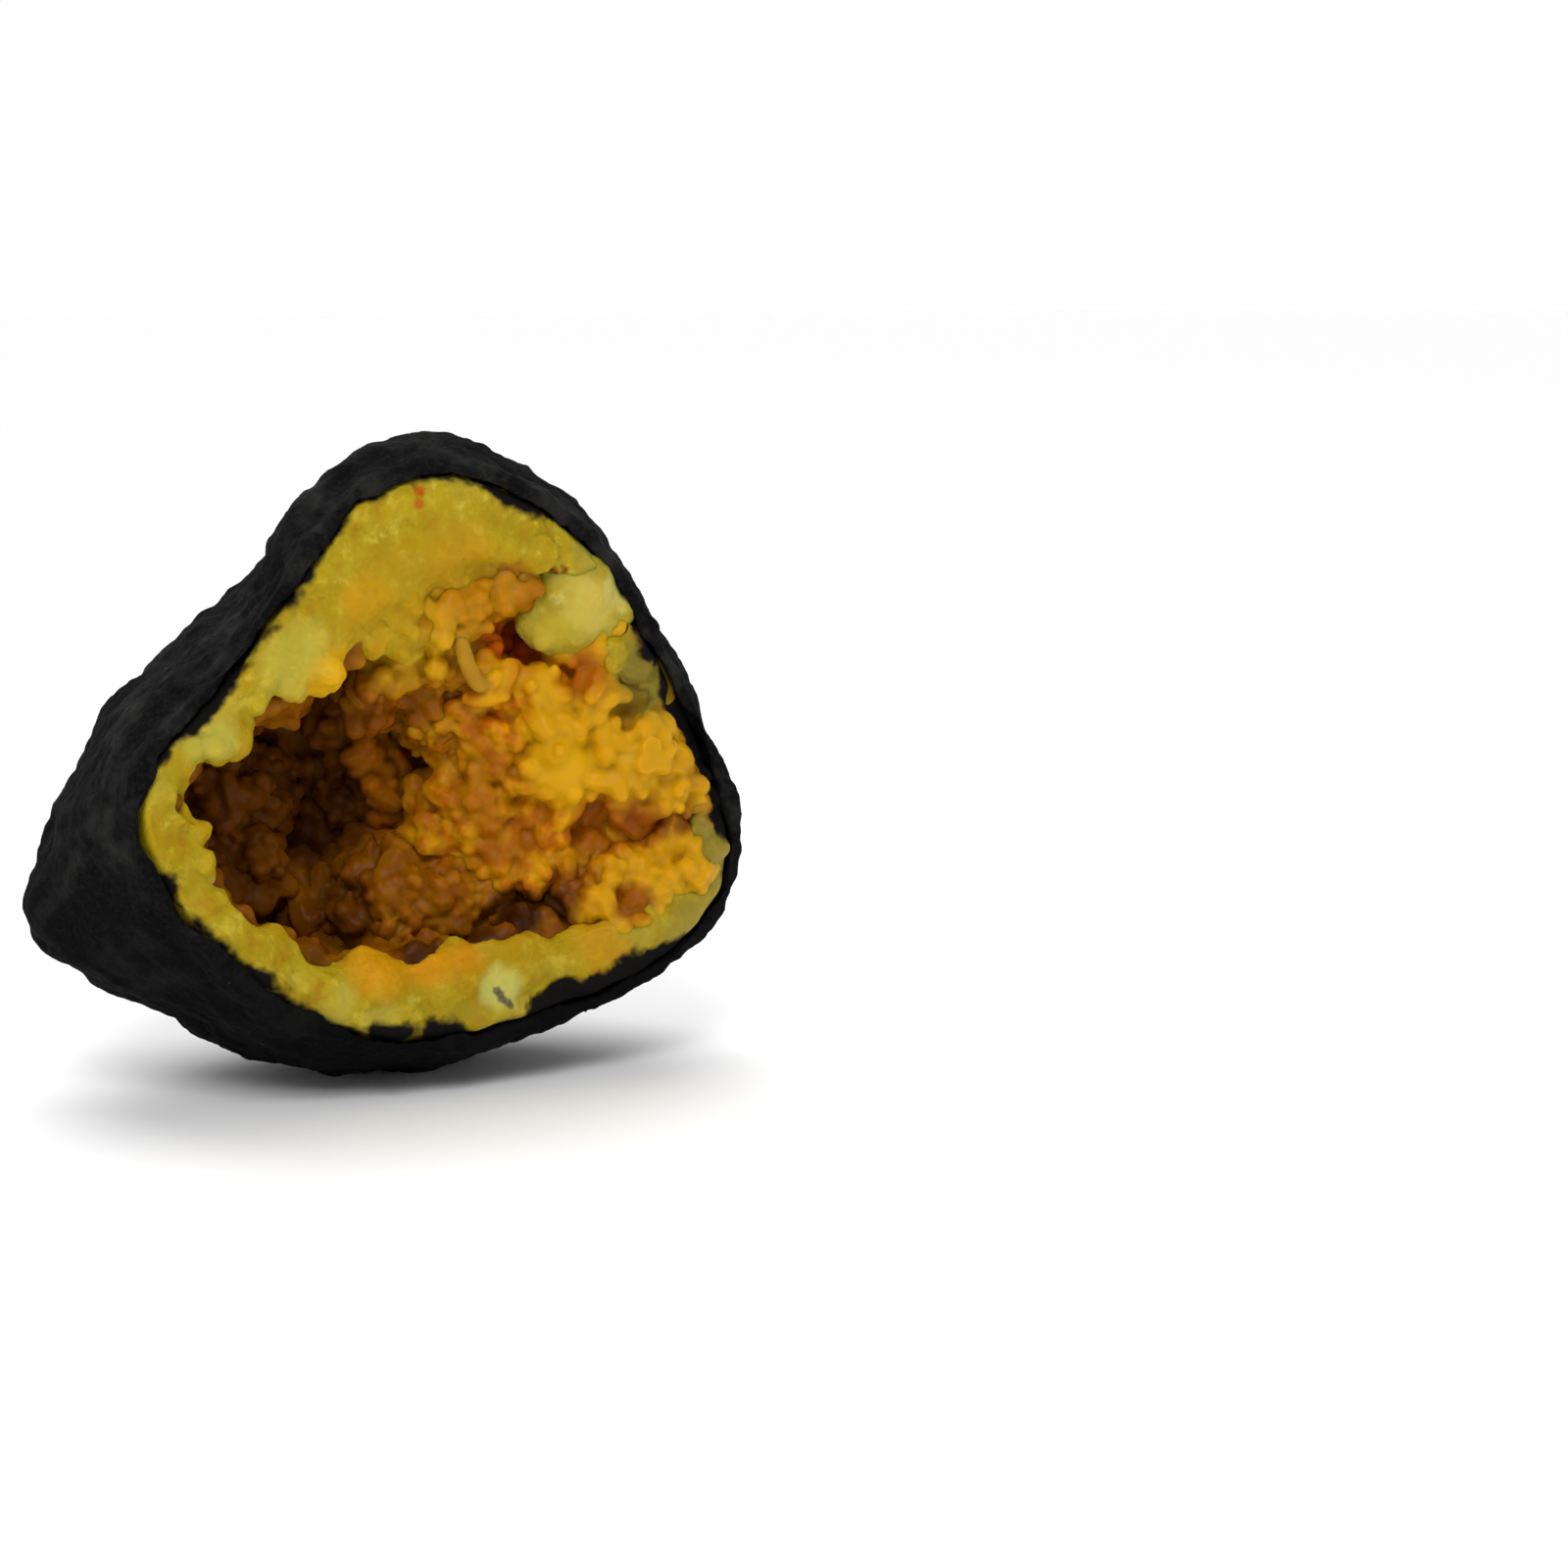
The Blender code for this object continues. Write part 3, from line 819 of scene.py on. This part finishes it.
def but_smooth_spots(mesh):
    """Crystals grow everywhere but on the smooth block, the green patch and the tube."""
    bare = np.max([close_to(mesh, spot, radius) for spot, radius in BARE_SPOTS], axis=0)
    return (1 - bare) * step(reach(mesh, "rind", 6 * MM), 2.4 * MM, 3.6 * MM)


# The same amber calcite twice: this copy is painted darker, as in shade, for the lining and the
# clumps away from the light.
AMBER_PAINTED_SHADE = amber(
    "amber druse",
    deep=colour(100, 54, 2), middle=colour(142, 80, 2), bright=colour(168, 110, 5),
    front=colour(136, 86, 4), low_front_shade=colour(70, 34, 1), cleft_shade=colour(66, 28, 1),
)
# This copy is painted lighter, as lit, for the clumps in the light at the right.
BRIGHT_PAINTED_LIT = amber(
    "bright crystal",
    deep=colour(110, 56, 1), middle=colour(172, 96, 2), bright=colour(204, 150, 8),
    front=colour(192, 144, 11), low_front_shade=colour(192, 144, 12), cleft_shade=colour(120, 52, 1),
)
CLUMPS = {
    "Spacing": 4.4 * MM, "Width": 5.0 * MM, "Length": 5.6 * MM, "Lean": 0.7, "Sink": 1.2 * MM,
}
CRYSTALS = {
    "Spacing": 1.6 * MM, "Width": 2.1 * MM, "Length": 2.9 * MM, "Lean": 2.0, "Sink": 0.9 * MM,
}
LINING_STAGES = (
    ({**CLUMPS, "Seed": 4}, inner_face_deep, 0.45 * MM),
    ({**CRYSTALS, "Seed": 5}, inner_face, 0.4 * MM),
)
crystal_piece(
    "druse", "druse_lining", AMBER_PAINTED_SHADE, LINING_LUMPS, 0.0, LINING_STAGES,
    front=wall_front + 4.2 * MM,
)


# ---- The clusters ---------------------------------------------------------
# Clumps of the same crystals standing on the druse: the ones in the light at
# the right painted brighter, as lit, the ones above, behind, below and at the left painted darker,
# as shaded.
BOSS_LUMPS = (
    *TUBE,
    ((16.5, -17.5, 46.9), 2.4), ((17.9, -18.5, 49.0), 2.2), ((20.6, -19.5, 49.4), 2.4),
    ((23.6, -20.0, 48.8), 2.6), ((20.6, -19.5, 45.7), 2.6), ((8.7, -9.5, 42.9), 4.6),
    ((10.9, -10.5, 33.8), 4.4), ((13.7, -12.5, 26.8), 4.5), ((9.5, -10.5, 28.6), 4.2),
    ((17.4, -14.0, 24.3), 3.4), ((22.1, -15.5, 27.8), 2.4), ((25.6, -18.9, 34.0), 3.6),
    ((31.6, -20.0, 34.6), 3.4), ((33.6, -20.4, 33.6), 2.2), ((21.5, -20.5, 38.2), 3.4),
    ((16.5, -17.5, 43.5), 4.0), ((12.3, -15.5, 41.2), 4.0), ((21.1, -18.5, 42.1), 4.0),
    ((27.3, -19.1, 39.2), 4.4), ((30.8, -20.0, 37.4), 3.0), ((16.8, -16.5, 47.4), 2.5),
    ((23.0, -18.0, 48.7), 2.4), ((10.6, -14.0, 44.1), 3.4), ((28.9, -19.5, 32.6), 2.4),
    ((15.9, -19.9, 36.8), 4.4), ((7.6, -17.5, 48.1), 2.0), ((9.2, -17.5, 46.9), 2.0),
    ((26.4, -22.0, 37.5), 2.2), ((28.6, -22.0, 36.4), 2.0), ((26.6, -20.0, 45.5), 3.4),
    ((24.2, -20.4, 46.8), 2.8), ((26.9, -20.0, 41.2), 2.4), ((29.6, -20.4, 43.4), 2.2),
    ((28.4, -20.6, 47.4), 1.8), ((23.8, -20.8, 44.2), 2.0), ((29.8, -20.8, 45.4), 1.5),
)
SHELF_LUMPS = (
    ((29.7, -19.5, 24.0), 3.8), ((33.3, -20.7, 25.3), 3.0), ((32.3, -20.5, 21.0), 3.2),
    ((27.3, -19.0, 20.0), 3.6), ((24.8, -17.5, 23.0), 3.0), ((25.5, -18.5, 17.5), 2.8),
    ((23.3, -14.0, 19.1), 3.5), ((26.5, -18.0, 27.3), 2.2), ((30.5, -19.5, 27.8), 2.0),
    ((33.6, -20.8, 22.7), 2.2),
)
UPPER_LUMPS = (
    ((0.8, -19.8, 54.2), 2.8), ((4.4, -20.2, 56.2), 2.8), ((8.1, -20.2, 57.2), 2.4),
    ((10.6, -19.5, 57.0), 1.8), ((2.8, -17.5, 51.7), 2.8), ((3.0, -11.5, 46.9), 4.4),
    ((5.7, -10.5, 43.2), 4.4), ((2.1, -16.0, 50.8), 3.8), ((-3.3, -11.5, 46.3), 3.2),
    ((-2.4, -14.5, 48.4), 3.0), ((5.8, -16.0, 49.9), 3.4), ((4.3, -16.0, 53.0), 2.4),
    ((8.4, -16.0, 55.4), 2.0), ((12.2, -15.5, 55.6), 1.8),
)
MIDDLE_LUMPS = (
    ((7.9, 3.5, 26.6), 5.0), ((2.2, 3.5, 34.2), 3.6), ((6.0, 3.5, 33.7), 4.6),
    ((10.8, 2.5, 32.6), 4.6), ((3.8, 5.5, 39.3), 4.4), ((8.2, 4.5, 38.8), 4.6),
    ((10.9, 2.5, 40.0), 4.2), ((11.2, -0.5, 27.8), 4.4),
)
LOWER_LUMPS = (
    ((1.9, -7.5, 21.8), 4.2), ((5.4, -9.5, 20.3), 4.5), ((10.2, -9.5, 21.6), 4.4),
    ((-0.3, -5.5, 20.2), 4.0), ((3.5, -9.5, 17.3), 4.0), ((-2.5, -0.5, 18.5), 4.2),
    ((7.6, -9.5, 17.6), 2.8),
)
LEFT_LUMPS = (
    ((-16.0, 1.0, 32.5), 3.0), ((-14.4, 2.5, 29.4), 2.4), ((-16.4, 1.5, 26.8), 3.0),
    ((-12.0, 4.0, 23.6), 2.8),
)
SMALL_CLUMPS = {"Spacing": 3.2 * MM, "Lean": 1.0, "Sink": 1.7 * MM}
# Node, material, slot, lumps, then in millimetres how far the solid is shrunk,
# how wide its clumps are and how fine its last mesh is.
CLUSTERS = (
    ("right_boss", BRIGHT_PAINTED_LIT, "bright_crystal", BOSS_LUMPS, 1.8, 4.2, 0.27),
    ("right_shelf_cluster", BRIGHT_PAINTED_LIT, "bright_crystal", SHELF_LUMPS, 1.2, 4.2, 0.24),
    ("upper_cluster", AMBER_PAINTED_SHADE, "amber_druse", UPPER_LUMPS, 2.4, 2.6, 0.24),
    ("middle_cluster", AMBER_PAINTED_SHADE, "amber_druse", MIDDLE_LUMPS, 2.2, 4.2, 0.24),
    ("lower_cluster", AMBER_PAINTED_SHADE, "amber_druse", LOWER_LUMPS, 2.6, 4.2, 0.24),
    ("left_cluster", AMBER_PAINTED_SHADE, "amber_druse", LEFT_LUMPS, 3.6, 4.2, 0.24),
)
for turn, (cluster, material, slot, lumps, shrink, clump, fused) in enumerate(CLUSTERS):
    clumps = {**SMALL_CLUMPS, "Width": clump * MM, "Length": 1.1 * clump * MM}
    stages = (
        ({**clumps, "Seed": 40 + 3 * turn}, but_smooth_spots, 0.4 * MM),
        ({**CRYSTALS, "Seed": 10 + 3 * turn}, but_smooth_spots, fused * MM),
    )
    crystal_piece(cluster + "_crystals", cluster, material, lumps, shrink * MM, stages)


# ---- The pale spar --------------------------------------------------------
# A block of clearer calcite, pale and cloudy, set in the wall at the upper right.
SPAR_GRAIN = 0.3 * MM
SPAR_LUMPS = (
    ((18.4, -21.0, 56.2), (4.8, 2.4, 4.0)), ((15.2, -20.8, 53.8), (4.2, 2.4, 3.4)),
    ((21.2, -21.4, 55.6), (2.4, 1.8, 2.6)), ((16.0, -21.4, 58.2), (3.0, 1.6, 2.0)),
)
cloudy = Calcite("pale spar", 0.35)
cloudy_patch = cloudy.noise(4 * MM, 4.0, 0.6).rise(0.35, 0.65)
cloudy_tone = cloudy.blend(cloudy_patch, colour(152, 130, 20), colour(168, 152, 52))
cloudy_frost = cloudy.noise(2 * MM, 3.0, 0.6).rise(0.6, 0.75) * 0.6
cloudy_tone = cloudy.blend(cloudy_frost, cloudy_tone, colour(196, 186, 100))
cloudy_tone = cloudy.blend(cloudy.up.rise(57.5, 60.5) * 0.8, cloudy_tone, colour(150, 136, 34))
cloudy_tone = cloudy.lay_patches(cloudy_tone, (
    ((17.6, -24.0, 56.0), 4.6, colour(190, 170, 72), 0.8),
    ((21.4, -24.0, 57.0), 3.0, colour(190, 176, 92), 0.8),
    ((13.6, -24.0, 52.6), 2.6, colour(176, 156, 40), 0.8),
))
cloudy.wire(Base_Color=cloudy_tone)
cloudy.bump(cloudy.noise(0.9 * MM, 3.0), 0.2 * MM)
spar_solid = with_lumps(solid_of("pale_spar"), SPAR_LUMPS)
spar = evenly(piece("spar_block", spar_solid), SPAR_GRAIN, 4)
mark(spar.data, "shown", np.ones(len(spar.data.vertices)))
grow(spar, breakage, {
    "Swells": 2.0 * MM, "Lumps": 2.4 * MM, "Sugar": 0.3 * MM, "Proud": 0.2 * MM,
    "Material": cloudy.material,
})
keep_above(spar.data, 1, FOREMOST)
spar.data.shade_smooth()
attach(spar, "root")
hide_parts("pale_spar")


# ---- Floor and light ------------------------------------------------------
# A plain white table under soft studio lamps, with the main light from the
# upper left front.
floor_mesh = bpy.data.meshes.new("floor")
bm = bmesh.new()
bmesh.ops.create_grid(bm, x_segments=1, y_segments=1, size=40.0)
bm.to_mesh(floor_mesh)
bm.free()
floor = piece("floor", floor_mesh)
white = Finish("white table", {
    "Base Color": (0.92, 0.92, 0.92, 1.0), "Roughness": 0.9, "Specular IOR Level": 0.1,
})
floor_mesh.materials.append(white.material)

world = bpy.data.worlds.new("studio")
world.use_nodes = True
sky = Nodes(world.node_tree)
toward = sky.add("ShaderNodeTexCoord", output="Generated")
height = sky.add("ShaderNodeSeparateXYZ", {}, {0: toward}, output="Z")
glow = world.node_tree.nodes["Background"]
glow.inputs["Color"].default_value = (1.0, 1.0, 1.0, 1.0)
sky.plug(glow.inputs["Strength"], 1 - height.rise(0.09, 0.16) * 0.55)
scene.world = world


def lamp(light, place, direction):
    """Hangs a light at a place, shining in a direction."""
    obj = bpy.data.objects.new(light.name, light)
    obj.location = place
    obj.rotation_euler = Vector(direction).to_track_quat("-Z", "Y").to_euler()
    scene.collection.objects.link(obj)


KEY_PLACE = Vector((-0.35, -0.55, 0.60))
soft_box = bpy.data.lights.new("key", "AREA")
soft_box.energy = 4.0
soft_box.size = 0.35
lamp(soft_box, KEY_PLACE, Vector((0.0, 0.0, 0.035)) - KEY_PLACE)
sun = bpy.data.lights.new("ceiling", "SUN")
sun.energy = 2.2
sun.angle = math.radians(55)
lamp(sun, (0.0, 0.0, 0.0), (-0.15, -0.5, -1.0))
